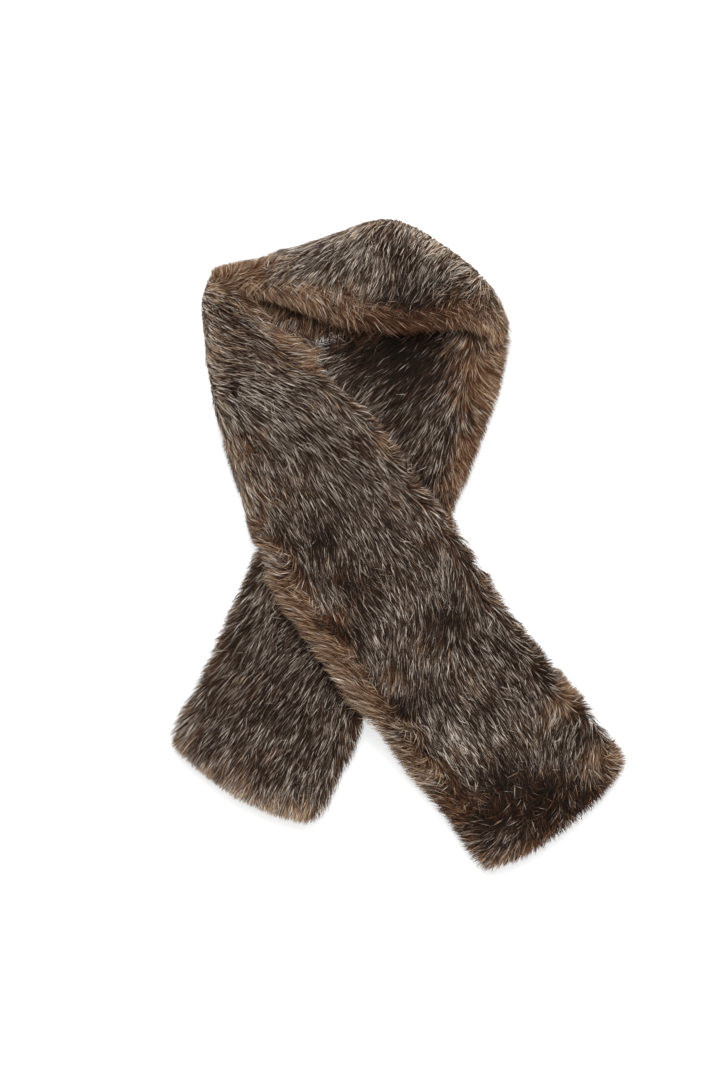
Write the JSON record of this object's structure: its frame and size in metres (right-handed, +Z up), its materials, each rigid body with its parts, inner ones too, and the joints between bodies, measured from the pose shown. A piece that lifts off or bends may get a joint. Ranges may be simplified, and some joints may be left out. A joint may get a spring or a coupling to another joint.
{
  "type": "fur collar wrap",
  "caption": "Long straight faux-fur strip with pile on both faces, laid flat in a crossed loop: folded at the neck, one tail over the other.",
  "frame": {"origin": "bottom centre of the wrap's box, on the surface that it lies on", "axes": "+Z up, +Y from the tails to the neck, +X to the right with the wrap seen from above"},
  "size_m": [0.3529, 0.504, 0.0487],
  "materials": {
    "faux_fur": "deep soft pile: dark brown body, pale grey-cream tips, warm brown underfur along the edges"
  },
  "bodies": {
    "root": {"under_tail_lower": "faux_fur", "under_tail_upper": "faux_fur", "neck_under": "faux_fur", "neck_flap": "faux_fur", "side_under": "faux_fur", "over_tail_lower": "faux_fur", "over_tail_upper": "faux_fur"}
  },
  "joints": []
}
